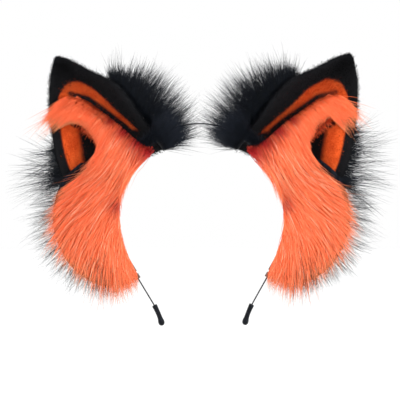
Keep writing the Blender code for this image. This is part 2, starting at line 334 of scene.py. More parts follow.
def felt_finish():
    """Dense black felt with matted fibres."""
    material, shader, place = new_finish("dense_felt", Roughness=0.95, Specular_IOR_Level=0.1)
    fibres = place.noise(1600.0, 6.0)
    feed(shader, Base_Color=fibres.mixed((0.003, 0.003, 0.004), (0.014, 0.014, 0.016)),
         Normal=fibres.bumped(0.6, 0.0004))
    return material


def thread_finish():
    """Brown thread in close turns."""
    material, shader, place = new_finish("wound_thread", Roughness=0.7, Sheen_Weight=0.2)
    turns = place.wave(420.0, 1.5, "Z")
    feed(shader, Base_Color=turns.mixed((0.03, 0.012, 0.008), (0.16, 0.06, 0.03)),
         Normal=turns.bumped(0.8, 0.0003))
    return material


def knit_finish():
    """The knitted back of the fur cloth, in rows of small loops."""
    material, shader, place = new_finish("knitted_back", Roughness=0.9, Sheen_Weight=0.2)
    knit = place.wave(260.0, 3.0, "Z") * place.wave(300.0, 2.0, "X")
    feed(shader, Base_Color=knit.mixed((0.04, 0.022, 0.018), (0.17, 0.10, 0.08)),
         Normal=knit.bumped(0.7, 0.0004))
    return material


def glue_finish():
    """Cloudy hot-melt glue."""
    material, shader, place = new_finish("hot_melt_glue", Roughness=0.35, Coat_Weight=0.3)
    cloud = place.noise(220.0, 3.0)
    feed(shader, Base_Color=cloud.mixed((0.62, 0.55, 0.42), (0.9, 0.86, 0.74)),
         Normal=cloud.bumped(0.3, 0.0005))
    return material


dense_felt, knitted_back = felt_finish(), knit_finish()
kept_nodes = {
    dense_felt: ("seat_sleeve", "seat_felt"),
    thread_finish(): ("upper_wrap", "lower_wrap"),
    knitted_back: ("strip_front_backing", "strip_rear_backing"),
    glue_finish(): ("glue_bead",),
}
for finish, nodes in kept_nodes.items():
    for hand in SIDES:
        for node in nodes:
            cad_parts[f"{hand}_{node}"].data.materials[0] = finish

# ---- Ears ----
# A cupped triangle of foam between an orange plush lining and a black plush cover, which meet in a
# rolled edge. Black is airbrushed round the lining's rim; black shade is painted along its crease,
# along the top of the parting and deep inside, and the lining is painted dimmer above the crease.

# Edges and lines of the left ear seen from the front, as (outward, up) in millimetres.
OUTER_EDGE = ((109, -46), (116.5, -22), (120, 4), (120.5, 29), (117, 49))
INNER_EDGE = ((30, -20), (49, 6), (67, 30), (90, 42), (109.5, 52))
TIP_ROUND_FROM = 0.86
RIM_BACK = (9.0, 7.0)
CUP_DEPTH = 30.0
CREASE_AT = 0.62
EAR_SIZE = {"left": 1.0, "right": 1.047}
EAR_LEAN = {"left": 0.0, "right": math.radians(2.9)}
EAR_FRONT, EAR_BACK = -1.2, 3.8
EDGE_ROLL = 3.0
CLOTH_THICK = 0.7
# Painted black shade follows the crease line, the parting's top and the deep edge below.
CREASE_LINE = ((105.5, 25.5), (92, 22.2), (81, 14.6), (65, 3), (50, -10), (38, -20))
BLACK_ABOVE = ((30, -21.5), (34, -18.5), (40, -13.5), (49.3, -3.5), (58.8, 5.2), (68.3, 13.2),
               (76.2, 21), (84, 28.4), (90.4, 32.4), (97, 35.5), (105, 34.5), (110, 31),
               (113.5, 24), (116, 18))
WINDOW_TOP = ((104, 1), (98, -1), (90, -4))
DEEP_EDGE = ((99.5, -2), (94.5, -36))
BLACK_RIM, BLACK_RIM_FADE, BLACK_RIM_TO = 6.8, 2.5, 0.6
PAINTED_SHADE_ABOVE_CREASE = 0.33  # how much shade is painted on the lining above its crease
FOAM_HALF_THICK = 1.6
NAP_LENGTH = 1.7
# How far loose hair may reach past the solids: a share of each side, and metres.
LOOSE_SHARE, LOOSE_HAIR = 0.03, 0.009


def on_curve(points, share):
    """Points on the smooth curve through the given ones, for shares from 0 to 1 of the way."""
    points, share = np.asarray(points, float), np.asarray(share, float)
    last = len(points) - 1
    span = np.clip((share * last).astype(int), 0, last - 1)
    t = (share * last - span)[..., None]
    a, b, c, d = (points[np.clip(span + k, 0, last)] for k in (-1, 0, 1, 2))
    bend = (2 * a - 5 * b + 4 * c - d) * t**2 + (3 * b - a - 3 * c + d) * t**3
    return (2 * b + (c - a) * t + bend) / 2


def on_ear(points, hand):
    """Turns and sizes (outward, up) points of the pattern for the left ear to fit either ear."""
    cos, sin = math.cos(-EAR_LEAN[hand]), math.sin(-EAR_LEAN[hand])
    corner = np.array(INNER_EDGE[0])
    offset = np.asarray(points, float) - corner
    turned = np.stack((cos * offset[..., 0] - sin * offset[..., 1],
                       sin * offset[..., 0] + cos * offset[..., 1]), axis=-1)
    return corner + turned * EAR_SIZE[hand]


def cup(across, up, hand):
    """Points of the cupped ear: across from the outer to the inner rim, up from base to tip."""
    across, up = np.broadcast_arrays(np.asarray(across, float), np.asarray(up, float))
    outer, inner = on_curve(OUTER_EDGE, up), on_curve(INNER_EDGE, up)
    past = np.clip((up - TIP_ROUND_FROM) / (1 - TIP_ROUND_FROM), 0, None)
    half = (inner - outer) / 2 * np.sqrt(1 - 0.75 * past**2)[..., None]
    place = on_ear((outer + inner) / 2 + half * (2 * across - 1)[..., None], hand)
    rim = (RIM_BACK[0] + (RIM_BACK[1] - RIM_BACK[0]) * across) * (1 - up)
    skew = math.log(0.5) / math.log(CREASE_AT)
    depth = CUP_DEPTH * (1 - up) ** 0.8 * np.sin(math.pi * across**skew)
    return np.stack((place[..., 0], rim + depth, place[..., 1]), axis=-1)


def cup_normal(across, up, hand):
    """The direction square to the cup, towards its back."""
    step = 0.01
    side = cup(np.minimum(across + step, 1), up, hand) - cup(np.maximum(across - step, 0), up, hand)
    rise = cup(across, np.minimum(up + step, 1), hand) - cup(across, np.maximum(up - step, 0), hand)
    normal = np.cross(side, rise)
    normal /= np.linalg.norm(normal, axis=-1, keepdims=True)
    return normal * np.where(normal[..., 1:2] < 0, -1, 1)


def from_line(points, line):
    """How far (outward, up) points are from a line of straight stretches."""
    nearest = np.full(points.shape[:-1], np.inf)
    for start, end in zip(np.asarray(line)[:-1], np.asarray(line)[1:]):
        stretch = end - start
        share = np.clip(((points - start) @ stretch) / (stretch @ stretch), 0, 1)
        gap = np.linalg.norm(points - start - share[..., None] * stretch, axis=-1)
        nearest = np.minimum(nearest, gap)
    return nearest


def rim_shares():
    """Shares across and up at places all the way round the rim."""
    ends = np.linspace(0, 1, 60)
    across = np.concatenate((0 * ends, ends, 0 * ends + 1, ends))
    up = np.concatenate((ends, 0 * ends + 1, ends, 0 * ends))
    return across, up


def from_rim(across, up, hand):
    """How far a place of the ear is from its rim, seen from the front."""
    place = cup(across, up, hand)[..., ::2]
    nearest = np.full(place.shape[:-1], np.inf)
    ends = np.linspace(0, 1, 60)
    for rim in (cup(0, ends, hand), cup(ends, 1, hand), cup(1, ends, hand), cup(ends, 0, hand)):
        nearest = np.minimum(nearest, from_line(place, rim[:, ::2]))
    return nearest


def grid_shares(across_steps, up_steps):
    """Shares across and up at the points of a grid, closer together near its edges."""
    ease = [(1 - np.cos(math.pi * np.linspace(0, 1, steps))) / 2 for steps in (across_steps, up_steps)]
    return np.meshgrid(*ease, indexing="ij")


def closed_layer(name, front, rear, hand):
    """A closed sheet between two grids of points, the first one nearer the front."""
    rows, columns = front.shape[:2]
    points = np.concatenate((front.reshape(-1, 3), rear.reshape(-1, 3)))
    far = rows * columns
    faces = []
    for i in range(rows - 1):
        for j in range(columns - 1):
            a, b = i * columns + j, (i + 1) * columns + j
            faces.append((a, a + 1, b + 1, b))
            faces.append((far + a, far + b, far + b + 1, far + a + 1))
    grid = np.arange(far).reshape(rows, columns)
    border = np.concatenate((grid[:, 0], grid[-1, 1:], grid[-2::-1, -1], grid[0, -2:0:-1])).tolist()
    for a, b in zip(border, border[1:] + border[:1]):
        faces.append((a, b, far + b, far + a))
    faces = [face[::SIDES[hand]] for face in faces]
    return new_mesh(name, placed(points, hand), faces)


def kept_near(points):
    """Strands shrunk towards their roots where they would stand too far beyond the solids."""
    low, high = np.array(cad_box)
    spare = LOOSE_SHARE * (high - low) + LOOSE_HAIR
    root = points[:, :1]
    away = points - root
    room = np.where(away > 0, high + spare - root, root - low + spare)
    share = np.clip(room / np.maximum(np.abs(away), 1e-9), 0, 1)
    return root + away * share.min(axis=(1, 2), keepdims=True)


def strand_mesh(name, paths, radius, hand, marks):
    """A mesh of thin tapered hairs along paths of (outward, back, up) points.

    marks gives a number for each hair or for each of its points, under the names its finish reads.
    """
    sides = 3
    count, steps = paths.shape[:2]
    paths = kept_near(placed(paths, hand))
    along = np.gradient(paths, axis=1)
    along /= np.linalg.norm(along, axis=-1, keepdims=True) + 1e-12
    first = np.cross(along, (0.31, 0.87, 0.38))
    first /= np.linalg.norm(first, axis=-1, keepdims=True) + 1e-12
    second = np.cross(along, first)
    share = np.linspace(0, 1, steps)
    taper = np.interp(share, (0, 0.25, 0.6, 1), (0.7, 1.0, 0.85, 0.12))
    wide = np.broadcast_to(radius, (count,))[:, None, None, None] * MM * taper[None, :, None, None]
    turn = np.linspace(0, 2 * math.pi, sides, endpoint=False)[None, None, :, None]
    ring = first[:, :, None] * np.cos(turn) + second[:, :, None] * np.sin(turn)
    points = (paths[:, :, None] + ring * wide).reshape(-1, 3)

    around = np.arange(sides)
    following = (around + 1) % sides
    low = np.arange(steps - 1)[:, None] * sides
    quads = np.stack((low + around, low + following, low + sides + following, low + sides + around),
                     axis=-1).reshape(-1, 4)
    root, tip = around[::-1], around + (steps - 1) * sides
    corners = np.concatenate((quads.ravel(), root, tip))
    sizes = np.tile(np.concatenate((np.full(len(quads), 4), (sides, sides))), count)
    loops = (np.arange(count)[:, None] * steps * sides + corners).ravel()
    mesh = bpy.data.meshes.new(name)
    mesh.vertices.add(len(points))
    mesh.vertices.foreach_set("co", points.ravel())
    mesh.loops.add(len(loops))
    mesh.loops.foreach_set("vertex_index", loops)
    mesh.polygons.add(len(sizes))
    mesh.polygons.foreach_set("loop_start", np.concatenate(([0], np.cumsum(sizes)[:-1])))
    mesh.polygons.foreach_set("use_smooth", np.ones(len(sizes), bool))

    tiles = math.ceil(math.sqrt(count))
    step_of, side_of = np.divmod(corners, sides)
    inner = np.stack((0.2 + 0.3 * side_of, 0.1 + 0.8 * step_of / (steps - 1)), axis=-1)
    column, row = np.divmod(np.arange(count), tiles)
    flat = (inner[None] + np.stack((column, row), axis=-1)[:, None]) / tiles
    mesh.uv_layers.new(name="OFBake").data.foreach_set("uv", flat.ravel())
    mesh.update()
    mesh.validate()
    made = bpy.data.objects.new(name, mesh)
    bpy.context.scene.collection.objects.link(made)
    for mark, values in {**marks, "along": share[None]}.items():
        values = np.asarray(values, float)
        values = values[:, None] if values.ndim == 1 else values
        add_attribute(made, mark, np.repeat(np.broadcast_to(values, (count, steps)), sides, axis=1))
    return made


def plush_finish(name, dark, light, airbrushed_and_shaded=False):
    """Short plush in random patches, painted lighter where the nap stands up as a painted sheen, with black
    airbrush and painted black shade over it where asked.
    """
    material, shader, place = new_finish(name, Roughness=0.95, Specular_IOR_Level=0.08)
    patches = place.noise(90.0, 3.0)
    nap = place.noise(1500.0, 3.0)
    # Painted sheen: patches and nap painted lighter where the nap stands up, over the plush's own random
    # tone.
    colour = (patches * 0.5 + nap * 0.5).between(0.35, 0.65).mixed(dark, light)
    if airbrushed_and_shaded:
        airbrush_and_shade = place.attribute("airbrush_and_shade") + (patches - 0.5) * 0.5 + (nap - 0.5) * 0.5
        colour = airbrush_and_shade.between(0.12, 0.86).mixed(colour, (0.007, 0.007, 0.008))
    feed(shader, Base_Color=colour, Normal=nap.bumped(0.7, 0.0006))
    return material


black_plush = plush_finish("black_plush", (0.004, 0.004, 0.005), (0.016, 0.017, 0.020))
orange_plush = plush_finish("orange_plush", (0.50, 0.050, 0.008), (0.80, 0.125, 0.024), airbrushed_and_shaded=True)


def airbrush_and_painted_shade(across, up, hand):
    """How much black lies on the lining: airbrushed round the rim, with painted shade along the crease,
    along the parting's top, deep inside and, dimmer, above the crease.
    """
    front = cup(across, up, hand)[..., ::2]
    rim = 0.5 + (BLACK_RIM - from_rim(across, up, hand)) / BLACK_RIM_FADE
    rim = np.clip(rim, 0, 1) * (across < BLACK_RIM_TO)
    top = on_ear(BLACK_ABOVE, hand)
    fuzz = np.interp(front[..., 0], (40, 75), (2.0, 5.0))
    above = np.clip(0.5 + (front[..., 1] - np.interp(front[..., 0], top[:, 0], top[:, 1])) / fuzz, 0, 1)
    # Painted shade: black along the crease.
    fold = on_ear(CREASE_LINE, hand)
    thick = np.interp(front[..., 0], (40, 60, 90, 105), (1.3, 2.9, 2.9, 1.8))
    crease = np.clip(0.5 + (thick - from_line(front, fold)) / fuzz, 0, 1)
    # Painted shade: the lining above the crease is painted dimmer.
    shade_above_crease = PAINTED_SHADE_ABOVE_CREASE * (front[..., 1] > np.interp(front[..., 0], fold[::-1, 0], fold[::-1, 1]))
    # Painted shade: black along the top of the parting.
    notch = np.clip(1.2 - from_line(front, on_ear(WINDOW_TOP, hand)) / 2.6, 0, 1)
    # Painted shade: black deep inside, inward of the deep edge and below the parting's top.
    deep = on_ear(DEEP_EDGE, hand)
    edge = np.interp(front[..., 1], deep[::-1, 1], deep[::-1, 0])
    inward = np.clip((edge - front[..., 0]) / 7.0 + 0.5, 0, 1)
    below = np.clip((deep[0, 1] + 2 - front[..., 1]) / 6.0, 0, 1)
    return np.maximum.reduce((rim, above, crease, shade_above_crease, notch, inward * below))


def build_shell(hand):
    """The lining and the cover, with the foam between them, thinned to a seam round the rim."""
    across, up = grid_shares(56, 60)
    middle, normal = cup(across, up, hand), cup_normal(across, up, hand)
    inward = from_rim(across, up, hand)
    roll = 1 - np.sqrt(1 - np.clip(1 - inward / EDGE_ROLL, 0, 1) ** 2)
    seam = (EAR_FRONT + EAR_BACK) / 2
    front = (EAR_FRONT + (seam - 0.1 - EAR_FRONT) * roll)[..., None]
    back = (EAR_BACK + (seam + 0.1 - EAR_BACK) * roll)[..., None]
    lining = closed_layer(hand + "_lining", middle + normal * front,
                          middle + normal * (front + CLOTH_THICK * 0.9), hand)
    # Black airbrush round the rim, and painted black shade in the crease, at the parting and deep inside.
    airbrush_and_shade = airbrush_and_painted_shade(across, up, hand)
    add_attribute(lining, "airbrush_and_shade", np.concatenate((airbrush_and_shade.ravel(), airbrush_and_shade.ravel())))
    dress(lining, orange_plush, "orange_plush", [hand + "_ear_lining"])
    cover = closed_layer(hand + "_cover", middle + normal * (back - CLOTH_THICK * 0.9),
                         middle + normal * back, hand)
    dress(cover, black_plush, "black_plush", [hand + "_ear_cover"])

    across, up = 0.03 + 0.94 * across, 0.02 + 0.93 * up
    middle, normal = cup(across, up, hand), cup_normal(across, up, hand)
    thin = np.clip(from_rim(across, up, hand) / 4.0, 0.1, 1)[..., None]
    foam = closed_layer(hand + "_foam", middle + normal * (seam - FOAM_HALF_THICK * thin),
                        middle + normal * (seam + FOAM_HALF_THICK * thin), hand)
    dress(foam, dense_felt, "foam", [hand + "_ear_core"])
    for piece in (lining, cover, foam):
        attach(piece, hand + "_ear")


def straight_hair(roots, headings, lengths, sway, steps):
    """Paths of nearly straight hair: roots, headings and sways are (outward, back, up) vectors."""
    share = np.linspace(0, 1, steps)[None, :, None]
    headings = headings / np.linalg.norm(headings, axis=-1, keepdims=True)
    return roots[:, None] + headings[:, None] * share * lengths[:, None, None] + sway[:, None] * share**2


def build_nap(hand):
    """The plush's own short pile, over the lining, over the cover and round the rim."""
    draw = np.random.default_rng(5 + SIDES[hand])
    count = 9000
    across, up = draw.uniform(0, 1, count), draw.uniform(0, 1, count) ** 0.9
    normal = cup_normal(across, up, hand)
    naps = {"lining": (EAR_FRONT + 0.1, -1, orange_plush), "cover": (EAR_BACK - 0.1, 1, black_plush)}
    for name, (level, toward, finish) in naps.items():
        inward = np.clip(from_rim(across, up, hand) / EDGE_ROLL, 0, 1)
        seam = (EAR_FRONT + EAR_BACK) / 2
        level = seam + (level - seam) * np.sqrt(1 - (1 - inward) ** 2)
        roots = cup(across, up, hand) + normal * level[:, None]
        heading = normal * toward + draw.normal(0, 0.45, (count, 3))
        lengths = draw.uniform(0.7, 1.2, count) * NAP_LENGTH
        paths = straight_hair(roots, heading, lengths, draw.normal(0, 0.2, (count, 3)), 3)
        spread = np.clip((across, up) + draw.normal(0, 0.022, (2, count)), 0, 1)
        # The lining's nap carries the same airbrush and painted shade, a little spread.
        airbrush_and_shade = airbrush_and_painted_shade(*spread, hand)
        piece = strand_mesh(f"{hand}_{name}_nap", paths, 0.11, hand, {"airbrush_and_shade": airbrush_and_shade})
        dress(piece, finish, "orange_plush" if name == "lining" else "black_plush")
        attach(piece, hand + "_ear")

    count = 6000
    across, up = rim_shares()
    rim = cup(across, up, hand)
    pick = draw.integers(0, len(across), count)
    inner = cup(0.5 + (across - 0.5) * 0.9, 0.45 + (up - 0.45) * 0.92, hand)
    outward = (rim - inner)[pick] * (1, 0.2, 1)
    outward /= np.linalg.norm(outward, axis=-1, keepdims=True)
    normal = cup_normal(across, up, hand)[pick]
    roots = rim[pick] + draw.normal(0, 0.9, (count, 3)) - outward * 0.8
    roots = roots + normal * ((EAR_FRONT + EAR_BACK) / 2 + draw.uniform(-1.2, 1.6, count))[:, None]
    heading = outward + draw.normal(0, 0.45, (count, 3))
    lengths = draw.uniform(0.8, 1.5, count) * NAP_LENGTH
    paths = straight_hair(roots, heading, lengths, draw.normal(0, 0.2, (count, 3)), 3)
    fringe = strand_mesh(hand + "_rim_nap", paths, 0.13, hand, {})
    dress(fringe, black_plush, "black_plush")
    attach(fringe, hand + "_ear")


for hand in SIDES:
    build_shell(hand)
    build_nap(hand)

# ---- Tufts ----
# A strip of long orange fur is glued along the crease inside each ear. It is combed outwards and
# down, over the rim at the top and into the fur below, and parts round the deep part of the ear.
STRAND_POINTS = 7
# How the orange fur is combed: (outward, up) places and the angle of the hair from straight down,
# where above zero is outwards.
COMBED = (
    (106, 27, 60), (92, 18, 48), (76, 7, 40), (60, -5, 32), (44, -17, 24),
    (112, 12, 52), (100, 6, 44), (112, -4, 40), (88, -4, 34), (135, -5, 52),
    (74, -14, 28), (78, -26, 34), (66, -30, 32), (52, -28, 24),
    (94, -42, 58), (112, -58, 56), (80, -44, 48), (66, -46, 32),
    (76, -64, 38), (96, -70, 48), (116, -80, 44), (70, -82, 20),
    (90, -90, 32), (112, -100, 30), (65, -98, 0), (80, -108, 14),
    (97, -118, 16), (60, -111, -14), (70, -122, 0), (54, -118, -26),
)
# The parting that leaves the deep part of each ear bare, as (outward, up).
WINDOW = {
    "left": ((124, -12), (112, -2.8), (105.6, 0.8), (97.6, 1.6), (89.6, -2.8), (84.8, -9.2),
             (82, -17.2), (84, -23.6), (89.6, -29.2), (97.6, -34.4), (105.6, -38.8), (116, -44)),
    "right": ((124, -14), (118.9, -12.5), (108, -2.2), (99.7, 6.5), (89.9, 0.6), (84, -12.9),
              (85.6, -22.2), (92, -31), (99.5, -37.1), (108.7, -44.6), (124, -44)),
}
# (outward, up, reach) of the spots where the fur is darker red, most at its roots.
DARK_RED_SPOTS = ((40, -23, 14.5), (49, -15, 10), (60, -6, 8), (71, 3, 5), (66.5, -66, 6.5))
TUFT_ROOTS = ((105.5, 23.5), (92, 20.4), (81, 12.8), (65, 0.6), (51, -12), (36, -21))
# Lines from the fur's inner to its outer edge, from the top down, as (outward, up).
FUR_LINES = (
    ((36, -20.5), (84, -34)),
    ((50, -31), (105, -47)),
    ((60, -45), (114, -62)),
    ((64.5, -60), (118, -78)),
    ((65.5, -75), (117, -92)),
    ((64, -89), (109, -105)),
    ((60, -101), (96, -116)),
    ((55, -111), (78, -124)),
    ((50.5, -117.5), (60, -125)),
)
TUFT_UP = (0.07, 0.60)
TUFT_INNER = (0.84, 0.45)
TUFT_WIDE = 0.28


def angle_at(points, guides):
    """The combed angle at (outward, up) points, blended from the nearest guides, in radians."""
    guides = np.asarray(guides)
    gap = np.linalg.norm(points[..., None, :] - guides[:, :2], axis=-1)
    weight = 1 / (gap**2 + 9.0) ** 2
    return np.radians((weight * guides[:, 2]).sum(-1) / weight.sum(-1))


def comb(roots, lengths, turns, guides, bend, steps=18):
    """Paths that follow the combing from their roots, as (strand, step, 2) points."""
    place = np.array(roots, float)
    path = [place.copy()]
    for step in range(steps):
        angle = angle_at(place, guides) + turns + bend * step / steps
        place = place + np.stack((np.sin(angle), -np.cos(angle)), axis=-1) * (lengths / steps)[:, None]
        path.append(place.copy())
    return np.stack(path, axis=1)


def inside(points, outline):
    """Whether (outward, up) points lie inside an outline."""
    outline = np.asarray(outline, float)
    within = np.zeros(points.shape[:-1], bool)
    for (x1, y1), (x2, y2) in zip(outline, np.roll(outline, -1, axis=0)):
        crosses = (y1 > points[..., 1]) != (y2 > points[..., 1])
        reach = x1 + (points[..., 1] - y1) * (x2 - x1) / (y2 - y1 + 1e-9)
        within ^= crosses & (points[..., 0] < reach)
    return within


def clump(paths, draw, share, pull):
    """Draws strands towards the tips of a few of them, as hair that sticks together."""
    leaders = draw.choice(len(paths), max(2, int(len(paths) * share)), replace=False)
    middles = paths[:, paths.shape[1] // 2]
    led = np.empty_like(paths)
    for start in range(0, len(paths), 1000):
        gaps = np.linalg.norm(middles[start:start + 1000, None] - middles[leaders][None], axis=-1)
        led[start:start + 1000] = paths[leaders[np.argmin(gaps, axis=1)]]
    along = np.linspace(0, 1, paths.shape[1])[None, :, None]
    amount = pull * draw.uniform(0.3, 1.0, len(paths))[:, None, None]
    return paths + (led - paths) * amount * along**1.6


def cut_short(paths, stop, count):
    """Paths that end at the given step of each, with that number of points."""
    at = np.linspace(0, 1, count)[None] * np.broadcast_to(stop, (len(paths),))[:, None]
    low = np.minimum(at.astype(int), paths.shape[1] - 2)
    part = (at - low)[..., None]
    rows = np.arange(len(paths))[:, None]
    return paths[rows, low] * (1 - part) + paths[rows, low + 1] * part


def fur_place(inward, down, lines=FUR_LINES):
    """(outward, up) places of the fur: from the inner to the outer edge and from the top down."""
    inner = on_curve([line[0] for line in lines], down)
    outer = on_curve([line[1] for line in lines], down)
    return inner + (outer - inner) * np.asarray(inward)[..., None]


def fur_out(flat, inward, lines=FUR_LINES):
    """How far out that share of the fur's width is, at the height of (outward, up) points."""
    edge = fur_place(np.full(60, inward), np.linspace(0, 1, 60), lines)
    nearest = np.argmin(np.abs(flat[..., 1][..., None] - edge[:, 1]), axis=-1)
    return edge[nearest, 0]


def kept_outside(flat, lines, slack):
    """Moves (outward, up) points that are inside the fur's inner edge out to it."""
    flat[..., 0] = np.maximum(flat[..., 0], fur_out(flat, 0.0, lines) - slack)
    return flat


def dark_red_share(points):
    """How dark red the fur is at (outward, up) points, from none to full."""
    red = np.zeros(points.shape[:-1])
    for out, up, reach in DARK_RED_SPOTS:
        gap = np.linalg.norm(points - (out, up), axis=-1)
        red = np.maximum(red, np.exp(-((gap / reach) ** 2)))
    return red


def orange_fur_finish():
    """Long orange pile: each hair its own tone, crimson at a few spots and most at the roots there, tan or
    black at some tips.
    """
    material, shader, place = new_finish("orange_fur", Specular_IOR_Level=0.25)
    tint = place.attribute("tint")
    along = place.attribute("along")
    colour = tint.node("ShaderNodeValToRGB", {0: tint}, stops=(
        (0.0, (0.93, 0.13, 0.034)),
        (0.45, (1.0, 0.215, 0.085)),
        (0.8, (1.0, 0.30, 0.14)),
        (1.0, (1.0, 0.52, 0.34)),
    ))
    root = (1 - along.between(0.0, 0.4)) * 0.4
    colour = root.mixed(colour, (0.88, 0.10, 0.025))
    tip = along.between(0.6, 1.0) * place.attribute("tan")
    colour = tip.mixed(colour, (0.72, 0.28, 0.12))
    red = place.attribute("red") * (1 - along.between(0.2, 0.9) * 0.6)
    colour = red.mixed(colour, (0.42, 0.008, 0.014))
    dark = place.attribute("dark") * along.between(0.45, 0.8)
    colour = dark.mixed(colour, (0.012, 0.010, 0.012))
    feed(shader, Base_Color=colour, Roughness=0.45 + along * 0.2)
    return material


orange_fur = orange_fur_finish()


def hair_tints(draw, count):
    """A shade for each hair, with a few that are much paler."""
    pale = draw.uniform(0, 1, count) < 0.09
    return np.where(pale, draw.uniform(0.85, 1.0, count), draw.beta(2.0, 2.4, count) * 0.9)


def tuft_paths(hand, draw, count):
    """Hairs of the tuft: roots along the crease, combed out over the ear, cut at the parting."""
    share = draw.uniform(0, 1, count * 2)
    roots = on_curve(TUFT_ROOTS, share)
    reach = np.interp(share, (0, 0.25, 0.5, 1), (10.0, 15.0, 20.0, 12.0))
    roots = roots + np.array((0.5, -0.866)) * (draw.uniform(0, 1, count * 2) ** 1.2 * reach)[:, None]
    kept = ~inside(roots, WINDOW[hand])
    roots, share = roots[kept][:count], share[kept][:count]
    overhang = {"left": 0.74, "right": 0.58}[hand]
    fullness = np.interp(share, (0, 0.15, 0.4, 1), (0.85, 1.0, 1.1 / overhang, 1.1 / overhang))
    lengths = draw.uniform(18, 40, count) * fullness * overhang
    stray = draw.uniform(0, 1, count) < 0.07
    lengths[stray] = draw.uniform(26, 60, stray.sum()) * overhang
    turns = draw.normal(0, 0.045, count) + stray * draw.normal(0, 0.16, count)
    paths = comb(roots, lengths, turns, COMBED, draw.normal(-0.03, 0.10, count))
    paths = kept_outside(paths, FUR_LINES, 0.5 + draw.exponential(1.0, count)[:, None])
    hit = inside(paths, WINDOW[hand])
    first = np.where(hit.any(axis=1), np.argmax(hit, axis=1), paths.shape[1] - 1)
    crosses = (draw.uniform(0, 1, count) < 0.012) & (share > 0.62)
    uneven = draw.uniform(-0.6, 1.2, count)
    stop = np.where(crosses, paths.shape[1] - 1, np.clip(first - uneven, 2.0, paths.shape[1] - 1))
    return paths, stop, share


def cup_depth(points, hand):
    """How far back the cup's surface is behind (outward, up) points, from its nearest grid points."""
    shares = np.meshgrid(np.linspace(0, 1, 50), np.linspace(0, 1, 50), indexing="ij")
    grid = cup(*shares, hand).reshape(-1, 3)
    flat = points.reshape(-1, 2)
    depth = np.empty(len(flat))
    for start in range(0, len(flat), 4000):
        part = flat[start:start + 4000]
        gap = ((part[:, None] - grid[None, :, ::2]) ** 2).sum(-1)
        near = np.argpartition(gap, 3, axis=1)[:, :3]
        weight = 1 / (np.take_along_axis(gap, near, axis=1) + 0.05)
        depth[start:start + 4000] = (grid[near, 1] * weight).sum(1) / weight.sum(1)
    return depth.reshape(points.shape[:-1])


def build_tuft(hand):
    """The tuft's long hair, its cloth and the short hair that hides the cloth."""
    draw = np.random.default_rng(11 + SIDES[hand])
    count = 5200
    flat, stop, low = tuft_paths(hand, draw, count)
    flat = cut_short(flat, stop, STRAND_POINTS)
    share = np.linspace(0, 1, STRAND_POINTS)[None]
    on_pattern = on_ear(flat, hand)
    depth = cup_depth(on_pattern, hand)
    lift = draw.uniform(0, 1, count)[:, None]
    low = np.clip((low[:, None] - 0.35) / 0.3, 0, 1)
    start = (depth[:, :1] - 2.5) * (1 - low) - (5.6 + 1.5 * lift) * low
    end = (np.minimum(depth[:, -1:], 9.0) - 5.0) * (1 - low) - (8.0 + 8.0 * lift) * low
    bridge = start + (end - start) * share**0.7 - np.sin(math.pi * share**0.7) * (2.0 + 6.0 * lift)
    back = np.minimum(bridge, depth - 1.6 - lift)
    paths = np.stack((on_pattern[..., 0], back, on_pattern[..., 1]), axis=-1)
    paths = clump(paths, draw, 0.15, 0.2)
    piece = strand_mesh(hand + "_tuft", paths, draw.uniform(0.10, 0.20, count), hand, {
        "tint": hair_tints(draw, count) * np.interp(flat[:, 0, 0], (60, 90), (1.0, 0.62)),
        "tan": np.interp(flat[:, -1, 0], (86, 112), (0.1, 1.0)),
        "red": dark_red_share(flat),
        "dark": np.zeros(count),
    })
    dress(piece, orange_fur, "orange_fur", [hand + "_tuft_pile"])
    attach(piece, hand + "_ear")

    across, up = grid_shares(8, 24)
    up = TUFT_UP[0] + (TUFT_UP[1] - TUFT_UP[0]) * up
    inner = np.interp(up, TUFT_UP, TUFT_INNER)
    across = inner - TUFT_WIDE * (1 - across)
    middle, normal = cup(across, up, hand), cup_normal(across, up, hand)
    cloth = closed_layer(hand + "_tuft_cloth", middle - normal * 2.1, middle - normal * 1.4, hand)
    dress(cloth, knitted_back, "knit_backing", [hand + "_tuft_backing"])
    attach(cloth, hand + "_ear")

    count = 2600
    up = draw.uniform(*TUFT_UP, count)
    across = np.interp(up, TUFT_UP, TUFT_INNER) - TUFT_WIDE * draw.uniform(-0.04, 1.04, count)
    normal = cup_normal(across, up, hand)
    root = cup(across, up, hand) - normal * 2.2
    heading = -normal + draw.normal(0, 0.4, (count, 3)) + (0.7, 0, -0.7)
    lengths = draw.uniform(3.5, 7.0, count)
    paths = straight_hair(root, heading, lengths, draw.normal(0, 0.5, (count, 3)), STRAND_POINTS)
    short = strand_mesh(hand + "_tuft_roots", paths, 0.2, hand, {
        "tint": hair_tints(draw, count) * 0.5,
        "tan": np.zeros(count),
        "red": dark_red_share(root[:, ::2]),
        "dark": np.zeros(count),
    })
    dress(short, orange_fur, "orange_fur")
    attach(short, hand + "_ear")


for hand in SIDES:
    build_tuft(hand)

# ---- Front fur ----
# Long orange pile on a cloth strip that is glued to the front of the band. The hair is rooted along
# the band and combed outwards and down, so it ends in a thin feathered edge.
FUR_FROM = 4.2  # from the band's middle to the roots of its fur
CLOTH_END_UP = -121.0
FALL_IN = 6.5


def fur_dome(inward, down):
    """Share of its full depth that the fur has at a place."""
    return 0.25 + 0.75 * np.sqrt(np.sin(math.pi * np.clip(inward, 0, 1)) * np.sin(math.pi * down))


def through(seeds, lengths, before, turns, guides, bend):
    """Combed paths that pass through the seeds, with a stretch of their length before them."""
    back_guides = np.array(guides) + (0, 0, 180)
    start = comb(seeds, before, turns, back_guides, np.zeros(len(seeds)), steps=8)[:, -1]
    return comb(start, lengths, turns, guides, bend)


def closing(flat, lift):
    """How far low hair falls in towards the other fur, past the outer and lower edge of the cloths."""
    past = np.clip((flat[..., 0] - fur_out(flat, 0.5)) / 9.0, 0, 1)
    below = np.clip((CLOTH_END_UP - flat[..., 1]) / 6.0, 0, 1)
    return FALL_IN * np.maximum(past, below) * (1 - lift) ** 0.7


